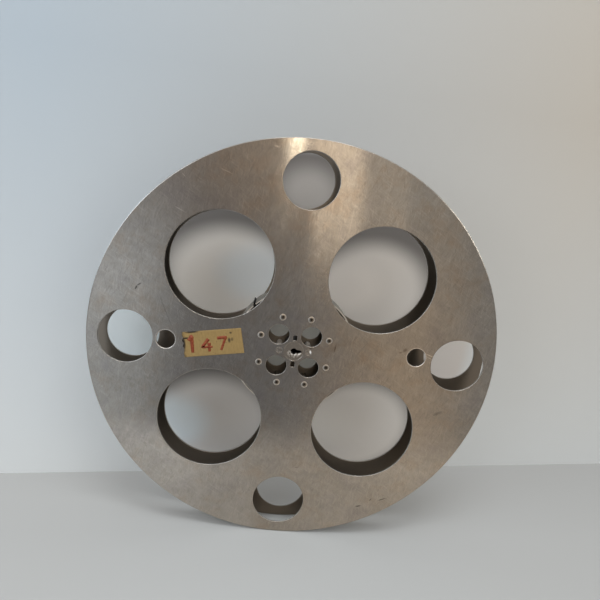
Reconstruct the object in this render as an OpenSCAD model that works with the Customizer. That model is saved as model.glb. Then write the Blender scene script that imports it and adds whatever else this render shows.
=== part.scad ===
// Large cine film reel: two pierced aluminium flanges on a hollow drum, with a sprung clip
// for the film's end.
// Sizes are millimetres. The reel stands on edge, as it hangs on a spindle: its axis is Y, +Z is up,
// the front flange faces -Y, and the origin is the middle of the spindle bore.
// Each piece is drawn lying flat, front up, and is then stood on edge.

/* [Flanges] */
// Outer diameter of both flanges
flange_d = 600; // [580:1:640]
// Thickness of each flange
flange_t = 2.5; // [2.3:0.1:4]
// Clear width between the flanges, a little more than the film
film_gap = 38; // [36:0.5:44]
// Chamfer on the hole edges
edge_break = 0.4; // [0.2:0.1:0.8]
// Chamfer on the flanges' rims, which handling has worn wider
rim_break = 1; // [0.2:0.1:1.1]

/* [Flange holes] */
// Diameter of the big holes on the diagonals
big_hole_d = 155; // [120:1:165]
// Distance of the big holes' centres from the axis
big_hole_centre = 164; // [155:1:180]
// Diameter of the holes near the rim
rim_hole_d = 78.6; // [50:0.2:90]
// Metal left between a rim hole and the flange's edge
rim_web = 16.5; // [8:0.5:30]
// Diameter of the two small holes in the front flange
finger_hole_d = 27.5; // [15:0.5:32]
// Metal left between the left-hand small hole and the rim hole beside it
finger_web_left = 4.8; // [4:0.1:20]
// Metal left between the right-hand small hole and the rim hole beside it
finger_web_right = 9.8; // [4:0.1:20]
// Height at which the left-hand small hole was drilled above the middle
finger_rise_left = 0.8; // [0:0.1:10]
// Height at which the right-hand small hole was drilled above the middle
finger_rise_right = 7.3; // [0:0.1:10]
// Turn of the rear flange's big holes and rim holes against the front's, in degrees
rear_turn = 0.9; // [0:0.1:2]
// Diameter of the four holes round the middle
hub_hole_d = 30; // [20:0.5:32]
// Distance of those holes' centres from the axis
hub_hole_centre = 33.6; // [32:0.1:36]

/* [Drum] */
// Outer diameter of the drum that the film is wound on
drum_d = 180; // [170:1:190]
// Thickness of the drum's rolled strip
drum_wall = 1.6; // [1.2:0.1:2.4]
// Depth of the groove in each flange that the drum's edge sits in
drum_seat = 0.5; // [0.3:0.1:0.9]
// Direction of the film slot, anticlockwise from the right
slot_angle = 135; // [135:1:140]
// Width of the film slot across the drum
slot_w = 4.5; // [4:0.1:6]

/* [Spindle] */
// Diameter of the spindle bore
bore_d = 8; // [7.9:0.05:10]
// Width of the keyway where it leaves the bore
key_w = 4; // [3:0.1:4.4]
// Width of the keyway at its outer end
key_end_w = 2; // [1.4:0.1:3]
// Distance from the axis to the end of the keyway
key_reach = 10.8; // [8:0.1:11]
// How far the bush's head stands out round its body, let in flush with the flange
bush_lip = 2; // [1.5:0.1:2.5]
// Thickness of the bush's head
bush_head_t = 1.2; // [0.8:0.1:1.6]
// Diameter of the bush's body
bush_d = 24; // [23.5:0.1:25]
// How far the bush reaches in behind its flange
bush_reach = 4; // [2:0.5:10]
// Wall of the sleeve that joins the bushes
sleeve_wall = 2; // [1:0.1:2.5]
// Width of a drive slot
drive_slot_w = 6.2; // [5:0.1:7]
// Height of a drive slot
drive_slot_h = 8; // [6:0.1:8.5]
// Distance of the drive slots from the axis
drive_slot_centre = 20; // [20:0.1:21]

/* [Pillars and tie posts] */
// Diameter of the circle that the pillars and screws stand on
pillar_circle_d = 108; // [106:0.5:120]
// Diameter of a pillar
pillar_d = 8; // [7.5:0.1:9]
// Diameter of a screw's shank
screw_d = 5; // [4:0.1:5.4]
// Diameter of a screw's countersunk head
screw_head_d = 9.4; // [9:0.1:9.6]
// Height of a screw's crown above the flange
screw_crown = 0.5; // [0.3:0.1:1]
// Length of a screw below the flange's outer face
screw_length = 12; // [8:0.5:16]
// Diameter of a tie post
tie_d = 9; // [8:0.1:10]
// Diameter of a tie post's ends where they pass through the flanges
tie_end_d = 6.4; // [5:0.1:7]
// Diameter of a tie post's hammered, flush head
tie_head_d = 9.4; // [8:0.1:9.8]
// Distance of the tie posts from the axis
tie_x = 21.5; // [20.5:0.1:22]

/* [Film clip] */
// Length of the clip's blade across the drum's width
clip_blade_l = 34; // [24:0.5:35]
// Length of the clip's barrel on its pin, with the spring beside it
clip_barrel_l = 20; // [18:0.5:22]
// Thickness of the clip
clip_t = 1.6; // [1.2:0.1:1.8]
// How far the clip's tip stands out of the drum
clip_proud = 3; // [1:0.1:4]
// Diameter of the clip's pin
clip_pin_d = 3; // [2.5:0.1:3.2]
// Diameter of the clip's barrel
clip_barrel_d = 6.2; // [6:0.1:6.6]
// Distance of the pin from the drum's inner wall
clip_pin_depth = 7.4; // [7:0.1:9]
// Distance of the pin to the side of the film slot's middle
clip_pin_side = 8; // [7.5:0.1:9]
// Turn that opens the clip, in degrees
clip_open = 10; // [4:1:10]
// Thickness of the clip's bracket
bracket_t = 1.5; // [1:0.1:2]
// Diameter of the bracket's rivets
rivet_d = 3; // [2.5:0.1:3.4]
// Distance between the two rivets
rivet_pitch = 12; // [8:0.5:12]
// Thickness of the spring's wire
spring_wire_d = 0.7; // [0.5:0.05:0.8]
// Distance from one turn of the spring to the next
spring_pitch = 1.2; // [1.15:0.01:1.25]

/* [Tape label] */
// Length of the strip of tape
tape_l = 88; // [70:1:90]
// Width of the tape
tape_w = 38; // [25:1:40]
// Thickness of the tape
tape_t = 0.2; // [0.15:0.05:0.3]
// Distance of the tape's middle from the axis, to the left
tape_x = 118.2; // [115:0.1:120]
// Height of the tape's middle
tape_z = 2; // [0:0.1:3]
// Tilt of the tape
tape_tilt = 9.7; // [0:0.1:12]

/* [Hidden] */
$fn = 96;

// Clearances: pieces pressed or laid together, the clip on its pin, and the clip from what it passes
seat_gap = 0.05;
pin_gap = 0.05;
clip_gap = 0.3;
// How far a cut runs past the face it opens
past = 1;

big_hole_count = 4;
rim_hole_count = 4;
hub_hole_count = 4;
pillar_count = 8;

inner_face = film_gap / 2;
outer_face = inner_face + flange_t;
rim_hole_centre = flange_d / 2 - rim_web - rim_hole_d / 2;
finger_reach = rim_hole_centre - rim_hole_d / 2 - finger_hole_d / 2;
finger_x_left = finger_reach - finger_web_left;
finger_x_right = finger_reach - finger_web_right;
bush_head_d = bush_d + 2 * bush_lip;
sleeve_bore = bush_d + 2 * seat_gap;
sleeve_d = sleeve_bore + 2 * sleeve_wall;
drum_inner = drum_d / 2 - drum_wall;

// A screw's countersink falls away at 45 degrees, and so does a tie post's
screw_cone = (screw_head_d - screw_d) / 2;
tie_cone = (tie_head_d - tie_end_d) / 2;
crown_radius = (pow(screw_head_d / 2, 2) + pow(screw_crown, 2)) / (2 * screw_crown);
cross_l = 0.52 * screw_head_d;
cross_w = 0.12 * screw_head_d;
cross_depth = 1.6;
// Each screw was driven home at its own angle, which steps by this much from one to the next
screw_turn = 37;
bore_break = 0.6;

// The clip's own frame: x runs outwards through the middle of the film slot, y to its left
pin_x = drum_inner - clip_pin_depth;
pin_y = clip_pin_side;
blade_side = clip_gap - slot_w / 2;
blade_root = pin_x + clip_barrel_d / 2;
blade_tip = drum_d / 2 + clip_proud;
tip_bevel = clip_t / 2;
// The web joins the barrel along its side, between these two heights
web_side = pin_y - clip_barrel_d / 2;
web_left = pin_x - clip_barrel_d / 3;
web_right = pin_x + clip_t / 4;
bracket_inner = drum_inner - seat_gap - bracket_t;
bracket_setback = 1;
bracket_tail = 10;
rivet_from_pin = 6;
bracket_near = slot_w / 2 + bracket_setback;
bracket_far = pin_y + bracket_tail;
rivet_side = pin_y + rivet_from_pin;
rivet_head_d = 1.8 * rivet_d;
rivet_head_t = 0.4 * rivet_d;
rivet_seat = bracket_inner - seat_gap;
ear_rim = 1.9;
ear_r = clip_pin_d / 2 + ear_rim;
ear_foot = drum_inner - 3 * bracket_t;
ear_t = bracket_t;
ear_inner = clip_barrel_l / 2 + clip_gap;

// The spring has three and three quarter turns beside the barrel
spring_slack = 0.35;
spring_end_gap = 0.1;
spring_leg_gap = 1;
spring_r = clip_pin_d / 2 + spring_slack + spring_wire_d / 2;
spring_turns = 3.75;
spring_rings = 8;
spring_sides = 6;
spring_top = clip_barrel_l / 2 - spring_wire_d / 2 - spring_end_gap;
spring_bottom = spring_top - spring_turns * spring_pitch;
barrel_top = spring_bottom - spring_wire_d / 2 - clip_gap;
spring_short_leg = clip_barrel_d / 2;
spring_long_leg = bracket_inner - pin_x - spring_wire_d / 2 - spring_leg_gap;

module upright() {
    rotate([90, 0, 0]) children();
}

module on_diagonals(count, radius) {
    for (i = [0 : count - 1]) rotate((i + 0.5) * 360 / count) translate([radius, 0, 0]) children();
}

module on_axes(count, radius) {
    for (i = [0 : count - 1]) rotate(i * 360 / count) translate([radius, 0, 0]) children();
}

module at_slot() {
    rotate(slot_angle) children();
}

// A cut of diameter d through a plate of thickness t, with both its edges broken
module edged_hole(d, t) {
    slope = edge_break + past;
    rotate_extrude() polygon([
        [0, -past], [d / 2 + slope, -past], [d / 2, edge_break], [d / 2, t - edge_break],
        [d / 2 + slope, t + past], [0, t + past]]);
}

// A countersunk cut: the cone opens at the plate's outer face, height t
module countersunk_hole(d, head_d, t) {
    cone = (head_d - d) / 2;
    rotate_extrude() polygon([
        [0, -past], [d / 2, -past], [d / 2, t - cone], [head_d / 2 + past, t + past], [0, t + past]]);
}

module flange_blank() {
    rotate_extrude() polygon([
        [0, 0], [flange_d / 2 - rim_break, 0], [flange_d / 2, rim_break],
        [flange_d / 2, flange_t - rim_break], [flange_d / 2 - rim_break, flange_t], [0, flange_t]]);
}

module drum_groove() {
    rotate_extrude() translate([drum_inner - seat_gap, -past])
        square([drum_wall + 2 * seat_gap, drum_seat + past]);
}

module bush_seat() {
    translate([0, 0, -past]) cylinder(d = sleeve_bore, h = flange_t + 2 * past);
    translate([0, 0, flange_t - bush_head_t])
        cylinder(d = bush_head_d + 2 * seat_gap, h = bush_head_t + past);
}

module drive_slots() {
    for (side = [-1, 1])
        translate([-drive_slot_w / 2, side * drive_slot_centre - drive_slot_h / 2, -past])
            cube([drive_slot_w, drive_slot_h, flange_t + 2 * past]);
}

// One pierced flange, from its inner face at height 0 to its outer face. Its large holes can be turned
// a little against those that the drum, the pillars and the bush are fixed by
module pierced_flange(turn) {
    difference() {
        flange_blank();
        rotate(turn) {
            on_diagonals(big_hole_count, big_hole_centre) edged_hole(big_hole_d, flange_t);
            on_axes(rim_hole_count, rim_hole_centre) edged_hole(rim_hole_d, flange_t);
        }
        on_diagonals(hub_hole_count, hub_hole_centre) edged_hole(hub_hole_d, flange_t);
        on_diagonals(pillar_count, pillar_circle_d / 2)
            countersunk_hole(screw_d + 2 * seat_gap, screw_head_d + 2 * seat_gap, flange_t);
        for (side = [-1, 1]) translate([side * tie_x, 0, 0])
            countersunk_hole(tie_end_d + 2 * seat_gap, tie_head_d + 2 * seat_gap, flange_t);
        drive_slots();
        bush_seat();
        drum_groove();
    }
}

module front_flange() {
    color("#a8a39b") upright() translate([0, 0, inner_face]) difference() {
        pierced_flange(0);
        translate([-finger_x_left, finger_rise_left, 0]) edged_hole(finger_hole_d, flange_t);
        translate([finger_x_right, finger_rise_right, 0]) edged_hole(finger_hole_d, flange_t);
    }
}

module rear_flange() {
    color("#98938b") upright() mirror([0, 0, 1]) translate([0, 0, inner_face]) pierced_flange(rear_turn);
}

module rivet_line(d, r_from, r_to) {
    for (side = [-1, 1])
        rotate(asin(rivet_side / drum_inner)) translate([r_from, 0, side * rivet_pitch / 2])
            rotate([0, 90, 0]) cylinder(d = d, h = r_to - r_from);
}

// A strip rolled into a ring, whose ends stop short of each other and leave the film slot
module core_drum() {
    height = film_gap + 2 * drum_seat;
    color("#b3aea5") upright() difference() {
        translate([0, 0, -height / 2]) cylinder(d = drum_d, h = height);
        translate([0, 0, -height / 2 - past]) cylinder(r = drum_inner, h = height + 2 * past);
        at_slot() translate([0, -slot_w / 2, -height / 2 - past])
            cube([drum_d / 2 + past, slot_w, height + 2 * past]);
        at_slot() rivet_line(rivet_d + 2 * seat_gap, drum_inner - past, drum_d / 2 + past);
    }
}

// A keyed bush, with its head at the top, flush with the flange's outer face
module keyed_bush() {
    bottom = inner_face - bush_reach;
    length = outer_face - bottom;
    difference() {
        union() {
            translate([0, 0, bottom]) cylinder(d = bush_d, h = length);
            translate([0, 0, outer_face - bush_head_t]) cylinder(d = bush_head_d, h = bush_head_t);
        }
        translate([0, 0, bottom - past]) cylinder(d = bore_d, h = length + 2 * past);
        translate([0, 0, outer_face - bore_break])
            cylinder(d1 = bore_d, d2 = bore_d + 2 * (bore_break + past), h = bore_break + past);
        translate([0, 0, bottom - past]) linear_extrude(length + 2 * past) polygon([
            [0, -key_w / 2], [key_reach, -key_end_w / 2], [key_reach, key_end_w / 2], [0, key_w / 2]]);
    }
}

module front_bush() {
    color("#8f8c86") upright() keyed_bush();
}

// Turned over about the vertical, so that its keyway faces the front bush's
module rear_bush() {
    color("#8f8c86") upright() mirror([0, 0, 1]) keyed_bush();
}

module spindle_sleeve() {
    color("#8a8781") upright() translate([0, 0, -inner_face]) difference() {
        cylinder(d = sleeve_d, h = film_gap);
        translate([0, 0, -past]) cylinder(d = sleeve_bore, h = film_gap + 2 * past);
    }
}

// A shouldered post, hammered over into the countersinks of both flanges
module tie_post(side) {
    color("#9c9890") upright() translate([side * tie_x, 0, 0]) rotate_extrude() polygon([
        [0, -outer_face], [tie_head_d / 2, -outer_face], [tie_end_d / 2, tie_cone - outer_face],
        [tie_end_d / 2, -inner_face], [tie_d / 2, -inner_face], [tie_d / 2, inner_face],
        [tie_end_d / 2, inner_face], [tie_end_d / 2, outer_face - tie_cone], [tie_head_d / 2, outer_face],
        [0, outer_face]]);
}

module tie_post_left() {
    tie_post(-1);
}

module tie_post_right() {
    tie_post(1);
}

// Pillar number i, counted anticlockwise from the right: a tube tapped for a screw at each end
module pillar(i) {
    place = [pillar_circle_d / 2, 0, -inner_face];
    color("#93908a") upright() rotate((i - 0.5) * 360 / pillar_count) translate(place) difference() {
        cylinder(d = pillar_d, h = film_gap);
        translate([0, 0, -past]) cylinder(d = screw_d + 2 * seat_gap, h = film_gap + 2 * past);
    }
}

// A screw with a crowned, countersunk head and a cross recess; height 0 is the flange's outer face
module screw() {
    difference() {
        union() {
            translate([0, 0, -screw_length]) cylinder(d = screw_d, h = screw_length);
            translate([0, 0, -screw_cone]) cylinder(d1 = screw_d, d2 = screw_head_d, h = screw_cone);
            intersection() {
                cylinder(d = screw_head_d, h = screw_crown);
                translate([0, 0, screw_crown - crown_radius]) sphere(crown_radius);
            }
        }
        for (turn = [0, 90]) rotate(turn)
            translate([-cross_l / 2, -cross_w / 2, screw_crown - cross_depth])
                cube([cross_l, cross_w, cross_depth + past]);
    }
}

module screw_ring() {
    for (i = [0 : pillar_count - 1])
        rotate((i + 0.5) * 360 / pillar_count) translate([pillar_circle_d / 2, 0, outer_face])
            rotate(screw_turn * i) screw();
}

module front_screws() {
    color("#c8c6c0") upright() screw_ring();
}

module rear_screws() {
    color("#c8c6c0") upright() mirror([0, 0, 1]) screw_ring();
}

// The outline of one ear: a round end about the pin, and a web that runs out to the drum
module ear_outline() {
    translate([pin_x, pin_y]) circle(ear_r);
    intersection() {
        circle(drum_inner - seat_gap);
        polygon([
            [pin_x, pin_y - ear_r], [drum_d, pin_y - ear_r], [drum_d, bracket_far],
            [ear_foot, bracket_far], [pin_x, pin_y + ear_r]]);
    }
}

// A curved plate riveted inside the drum, with an ear at each end for the clip's pin
module clip_bracket() {
    from = asin(bracket_near / drum_inner);
    to = asin(bracket_far / drum_inner);
    length = 2 * (ear_inner + ear_t);
    color("#8b8983") upright() at_slot() difference() {
        union() {
            rotate(from) rotate_extrude(angle = to - from) translate([bracket_inner, -length / 2])
                square([bracket_t, length]);
            for (bottom = [-ear_inner - ear_t, ear_inner]) translate([0, 0, bottom])
                linear_extrude(ear_t) ear_outline();
        }
        translate([pin_x, pin_y, -length]) cylinder(d = clip_pin_d + 2 * seat_gap, h = 2 * length);
        rivet_line(rivet_d + 2 * seat_gap, bracket_inner - past, drum_inner + past);
    }
}

module clip_rivets() {
    color("#a09d97") upright() at_slot() {
        rivet_line(rivet_d, rivet_seat - rivet_head_t, drum_d / 2 - 2 * seat_gap);
        rivet_line(rivet_head_d, rivet_seat - rivet_head_t, rivet_seat);
    }
}

module clip_pin() {
    length = 2 * (ear_inner + ear_t);
    color("#b0aea9") upright() at_slot() translate([pin_x, pin_y, -length / 2])
        cylinder(d = clip_pin_d, h = length);
}

// A bent lever: a barrel on the pin, a web, and a long blade whose tip reaches out through the film slot
module film_clip() {
    color("#1c1b1a") upright() at_slot() difference() {
        union() {
            translate([pin_x, pin_y, -clip_barrel_l / 2])
                cylinder(d = clip_barrel_d, h = barrel_top + clip_barrel_l / 2);
            translate([0, 0, -clip_barrel_l / 2]) linear_extrude(clip_barrel_l) polygon([
                [web_left, web_side], [web_right, web_side], [blade_root + clip_t, blade_side + clip_t],
                [blade_root + clip_t, blade_side], [blade_root, blade_side]]);
            translate([0, 0, -clip_barrel_l / 2]) linear_extrude(barrel_top + clip_barrel_l / 2) polygon([
                [web_left, web_side], [web_right, web_side], [web_right, pin_y], [web_left, pin_y]]);
            translate([0, 0, -clip_blade_l / 2]) linear_extrude(clip_blade_l) polygon([
                [blade_root, blade_side], [blade_tip - tip_bevel, blade_side],
                [blade_tip, blade_side + tip_bevel], [blade_tip - tip_bevel, blade_side + clip_t],
                [blade_root, blade_side + clip_t]]);
        }
        translate([pin_x, pin_y, -clip_blade_l])
            cylinder(d = clip_pin_d + 2 * pin_gap, h = 2 * clip_blade_l);
    }
}

// The spring's middle line, about the pin: a short leg, the turns, and a long leg
spring_steps = spring_turns * spring_rings;
spring_line = concat(
    [[spring_r, -spring_short_leg, spring_bottom]],
    [for (i = [0 : spring_steps]) let (a = i * 360 / spring_rings)
        [spring_r * cos(a), spring_r * sin(a), spring_bottom + a / 360 * spring_pitch]],
    [[spring_long_leg, -spring_r, spring_top]]);

function unit(v) = v / norm(v);
function line_direction(path, i) = unit(path[min(i + 1, len(path) - 1)] - path[max(i - 1, 0)]);

// A ring of points about each point of a line that stays near one level
function tube_ring(path, i, r, sides) =
    let (along = line_direction(path, i), across = unit(cross([0, 0, 1], along)))
    let (up = cross(along, across))
    [for (k = [0 : sides - 1]) path[i] + r * (cos(k * 360 / sides) * across + sin(k * 360 / sides) * up)];

module tube(path, d, sides) {
    last = len(path) - 1;
    points = [for (i = [0 : last]) each tube_ring(path, i, d / 2, sides)];
    walls = [for (i = [0 : last - 1], k = [0 : sides - 1])
        let (a = i * sides + k, b = i * sides + (k + 1) % sides)
        each [[a, a + sides, b + sides], [a, b + sides, b]]];
    end = last * sides;
    ends = [for (k = [1 : sides - 2]) each [[0, k, k + 1], [end, end + k + 1, end + k]]];
    polyhedron(points, concat(walls, ends));
}

// The least gap between points of the spring that lie more than half a turn apart
spring_gap = min([for (i = [0 : len(spring_line) - 1], j = [0 : len(spring_line) - 1])
    if (j - i > spring_rings / 2) norm(spring_line[j] - spring_line[i])]) - spring_wire_d;
echo(spring_gap = spring_gap);

module clip_spring() {
    color("#7a7975") upright() at_slot() translate([pin_x, pin_y, 0])
        tube(spring_line, spring_wire_d, spring_sides);
}

module tape_label() {
    color("#b5965a") upright() translate([-tape_x, tape_z, outer_face]) rotate(tape_tilt)
        translate([-tape_l / 2, -tape_w / 2, 0]) cube([tape_l, tape_w, tape_t]);
}

front_flange();
rear_flange();
core_drum();
front_bush();
rear_bush();
spindle_sleeve();
tie_post_left();
tie_post_right();
pillar(1);  // pillar_1
pillar(2);  // pillar_2
pillar(3);  // pillar_3
pillar(4);  // pillar_4
pillar(5);  // pillar_5
pillar(6);  // pillar_6
pillar(7);  // pillar_7
pillar(8);  // pillar_8
front_screws();
rear_screws();
clip_bracket();
clip_rivets();
clip_pin();
film_clip();
clip_spring();
tape_label();
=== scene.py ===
import math

import bmesh
import bpy
from mathutils import Euler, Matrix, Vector, noise


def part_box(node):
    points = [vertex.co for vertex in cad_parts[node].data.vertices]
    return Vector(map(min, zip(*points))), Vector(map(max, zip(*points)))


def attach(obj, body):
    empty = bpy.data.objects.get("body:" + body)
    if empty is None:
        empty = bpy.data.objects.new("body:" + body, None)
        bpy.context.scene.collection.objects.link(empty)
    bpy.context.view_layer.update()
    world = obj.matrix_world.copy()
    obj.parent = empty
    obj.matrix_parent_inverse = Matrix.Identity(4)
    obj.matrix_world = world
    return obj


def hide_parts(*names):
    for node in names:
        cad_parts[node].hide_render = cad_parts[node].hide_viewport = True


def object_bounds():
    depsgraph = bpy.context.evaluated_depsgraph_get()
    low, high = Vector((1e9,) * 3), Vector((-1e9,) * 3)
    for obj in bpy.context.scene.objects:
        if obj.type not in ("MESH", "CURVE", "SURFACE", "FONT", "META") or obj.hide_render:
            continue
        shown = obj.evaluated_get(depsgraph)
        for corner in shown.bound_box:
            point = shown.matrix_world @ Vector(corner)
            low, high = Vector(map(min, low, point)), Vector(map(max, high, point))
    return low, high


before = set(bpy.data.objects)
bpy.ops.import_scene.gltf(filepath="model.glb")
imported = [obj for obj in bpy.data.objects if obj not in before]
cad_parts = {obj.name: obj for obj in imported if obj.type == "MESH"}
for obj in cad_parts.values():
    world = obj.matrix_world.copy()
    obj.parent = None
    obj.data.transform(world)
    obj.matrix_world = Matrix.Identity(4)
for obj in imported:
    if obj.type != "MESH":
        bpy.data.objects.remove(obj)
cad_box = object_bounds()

# Spindle sleeve: a length of drawn steel tube, held between the flanges by the two bushes
# that are pressed into its ends. It keeps the reel's middle at its width.
mm = 0.001


def linear(code):
    """An sRGB hex colour as the linear red, green, blue and alpha that the shaders take."""
    parts = [int(code[i:i + 2], 16) / 255 for i in (1, 3, 5)]
    return [c / 12.92 if c <= 0.04045 else ((c + 0.055) / 1.055) ** 2.4 for c in parts] + [1.0]


def add(tree, kind, inputs=None, out=0, **settings):
    """Add one node with its settings and its inputs, values or links, and return an output of it."""
    node = tree.nodes.new("ShaderNode" + kind)
    for name, value in settings.items():
        setattr(node, name, value)
    sockets = {socket.identifier: socket for socket in node.inputs}
    for name, value in (inputs or {}).items():
        if isinstance(value, bpy.types.NodeSocket):
            tree.links.new(value, sockets[name])
        else:
            sockets[name].default_value = value
    return node.outputs[out] if len(node.outputs) else node


def new_material(name):
    """An empty material, its node tree and the point on the piece, in metres from the bore's middle."""
    material = bpy.data.materials.new(name)
    material.use_nodes = True
    material.node_tree.nodes.clear()
    place = add(material.node_tree, "TexCoord", out="Object")
    return material, material.node_tree, place


def dress(material, *nodes):
    """Give CAD nodes this material."""
    for name in nodes:
        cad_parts[name].material_slots[0].material = material


# Drawn mild steel: the die leaves fine lines along the tube, which break the gloss into streaks.
# The lines are about 0.1 mm apart and are drawn eight times as coarse, so that they show.
draw_line = 0.8 * mm
draw_run = 30 * mm
# The steel is painted near-black: painted shade for the sleeve inside the hub.
drawn_steel, tree, place = new_material("drawn_mild_steel_painted_shade")
lines = add(tree, "TexNoise", {
    "Vector": add(tree, "Mapping", {
        "Vector": place, "Scale": (1 / draw_line, 1 / draw_run, 1 / draw_line)}),
    "Scale": 1.0, "Detail": 2.0})
add(tree, "OutputMaterial", {"Surface": add(tree, "BsdfPrincipled", {
    "Base Color": add(tree, "Mix", {
        "Factor_Float": lines, "A_Color": linear("#1d1a17"), "B_Color": linear("#2b2722")},
        out=2, data_type="RGBA"),
    "Roughness": add(tree, "MapRange", {"Value": lines, "To Min": 0.28, "To Max": 0.5}),
    "Metallic": 1.0})})
dress(drawn_steel, "spindle_sleeve")

# Bushes: turned steel, pressed through the flanges from outside with their heads let in flush.
# The mouth of the bore is bright on its lower side, scored by the spindle and painted with glints.
tool_ring = 0.7 * mm
worn_from = 5 * mm
worn_to = 11 * mm
wear_top = 1 * mm
wear_full = -2 * mm
smear = 3.2 * mm
hole_shade_depth = 0.05 * mm
bush_face = -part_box("front_bush")[0].y


def along_axis(tree, vector):
    """How far a point or a normal goes along the reel's axis, to the front or to the rear."""
    return add(tree, "Math", {
        "Value": add(tree, "SeparateXYZ", {"Vector": vector}, out="Y")}, operation="ABSOLUTE")


def soft_spot(tree, place, middle, reach, lean=0):
    """A spot that is 1 in the middle and 0 at its reach along x, y and z. It leans by some degrees."""
    return add(tree, "TexGradient", {
        "Vector": add(tree, "Mapping", {
            "Vector": place, "Location": middle, "Rotation": (0, -math.radians(lean), 0),
            "Scale": reach}, vector_type="TEXTURE")}, out=1, gradient_type="SPHERICAL")


# Turned steel: the tool leaves rings about 0.1 mm apart on the face, drawn here at 0.7 mm, that
# break up the gloss, and the rubbed places are paler and duller, with painted glints on them.
turned_bush, tree, place = new_material("turned_steel_worn_and_glinting")
from_axis = add(tree, "VectorMath", {
    "Vector": add(tree, "VectorMath", {
        "Vector": place, "Vector_001": (1, 0, 1)}, operation="MULTIPLY")},
    out="Value", operation="LENGTH")
rings = add(tree, "TexNoise", {"W": from_axis, "Scale": 1 / tool_ring, "Detail": 1.0},
            noise_dimensions="1D")
patches = add(tree, "TexNoise", {"Vector": place, "Scale": 1 / smear, "Detail": 3.0})
below = add(tree, "MapRange", {
    "Value": add(tree, "SeparateXYZ", {"Vector": place}, out="Z"),
    "From Min": wear_top, "From Max": wear_full})
rubbed_and_glint = add(tree, "Math", {
    "Value": add(tree, "Math", {
        "Value": below,
        "Value_001": add(tree, "MapRange", {
            "Value": from_axis, "From Min": worn_to, "From Max": worn_from})}, operation="MULTIPLY"),
    "Value_001": add(tree, "MapRange", {"Value": patches, "From Min": 0.42, "From Max": 0.58})},
    operation="MULTIPLY")
# A bright spot at the keyway's lower lip: a chip from the key, and a painted glint.
chip_and_glint = add(tree, "MapRange", {
    "Value": soft_spot(
        tree, place, (8.6 * mm, -bush_face, -3.4 * mm), (3.6 * mm, 1 * mm, 1.7 * mm), 35),
    "From Max": 0.4})
rubbed_and_glint = add(tree, "Math", {"Value": rubbed_and_glint, "Value_001": chip_and_glint}, operation="MAXIMUM")
steel = add(tree, "Mix", {
    "Factor_Float": rubbed_and_glint,
    "A_Color": add(tree, "Mix", {
        "Factor_Float": rings, "A_Color": linear("#aaa69f"), "B_Color": linear("#c4c1bb")},
        out=2, data_type="RGBA"),
    "B_Color": linear("#fbfaf6")}, out=2, data_type="RGBA")
# The face along the keyway is painted dark: painted shade of the keyway.
keyway_shade = add(tree, "MapRange", {
    "Value": soft_spot(tree, place, (6 * mm, -bush_face, 0), (7 * mm, 1 * mm, 3.2 * mm)),
    "From Min": 0.05, "From Max": 0.35})
# The bore and the keyway are painted near-black: painted shade deep in the hole.
hole_shade = add(tree, "MapRange", {
    "Value": along_axis(tree, place),
    "From Min": bush_face - hole_shade_depth, "From Max": bush_face - 2 * hole_shade_depth})
add(tree, "OutputMaterial", {"Surface": add(tree, "BsdfPrincipled", {
    "Base Color": add(tree, "Mix", {
        "Factor_Float": add(tree, "Math", {
            "Value": hole_shade, "Value_001": keyway_shade}, operation="MAXIMUM"),
        "A_Color": steel, "B_Color": linear("#1e1b18")}, out=2, data_type="RGBA"),
    "Roughness": add(tree, "MapRange", {"Value": rubbed_and_glint, "To Min": 0.26, "To Max": 0.6}),
    "Metallic": add(tree, "MapRange", {"Value": rubbed_and_glint, "To Min": 1.0, "To Max": 0.5}),
    "Normal": add(tree, "Bump", {
        "Height": add(tree, "Math", {"Value": rings, "Value_001": patches}, operation="ADD"),
        "Strength": 1.0, "Distance": 0.02 * mm})})})
dress(turned_bush, "front_bush", "rear_bush")

# Tie posts: turned aluminium with a shoulder at each end, hammered over into the flanges.
# They hold the flanges together close beside the bushes.
# Turned aluminium: pale sides with fine rings round the post, 0.1 mm apart and drawn at 1.1 mm so
# that they show, and a brighter end with dull blow marks.
post_ring = 1.1 * mm
hammer_mark = 3 * mm
turned_aluminium, tree, place = new_material("turned_aluminium_hammered")
height = add(tree, "SeparateXYZ", {"Vector": place}, out="Y")
rings = add(tree, "TexNoise", {"W": height, "Scale": 1 / post_ring, "Detail": 1.0},
            noise_dimensions="1D")
blows = add(tree, "TexVoronoi", {"Vector": place, "Scale": 1 / hammer_mark}, out="Distance")
facing = along_axis(tree, add(tree, "TexCoord", out="Normal"))
# A small bright spot on the right-hand post's front end is a painted glint.
post_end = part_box("tie_post_right")[0].y
end_glint = add(tree, "MapRange", {
    "Value": soft_spot(
        tree, place, (24.4 * mm, post_end, 0.9 * mm), (1.3 * mm, 1 * mm, 3.2 * mm), 15),
    "From Max": 0.4})
post_colour = add(tree, "Mix", {
    "Factor_Float": add(tree, "Math", {"Value": blows, "Value_001": facing}, operation="MULTIPLY"),
    "A_Color": linear("#fbf8f2"), "B_Color": linear("#9a968f")}, out=2, data_type="RGBA")
add(tree, "OutputMaterial", {"Surface": add(tree, "BsdfPrincipled", {
    "Base Color": add(tree, "Mix", {
        "Factor_Float": end_glint, "A_Color": post_colour, "B_Color": linear("#fdfcf9")},
        out=2, data_type="RGBA"),
    "Roughness": add(tree, "Math", {
        "Value": add(tree, "MapRange", {"Value": rings, "To Min": 0.75, "To Max": 0.9}),
        "Value_001": add(tree, "MapRange", {"Value": facing, "To Max": 0.6})}, operation="SUBTRACT"),
    "Metallic": add(tree, "Math", {
        "Value": facing, "Value_001": end_glint}, operation="SUBTRACT", use_clamp=True),
    "Normal": add(tree, "Bump", {"Height": blows, "Strength": 1.0, "Distance": 0.1 * mm})})})
dress(turned_aluminium, "tie_post_left", "tie_post_right")

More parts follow.
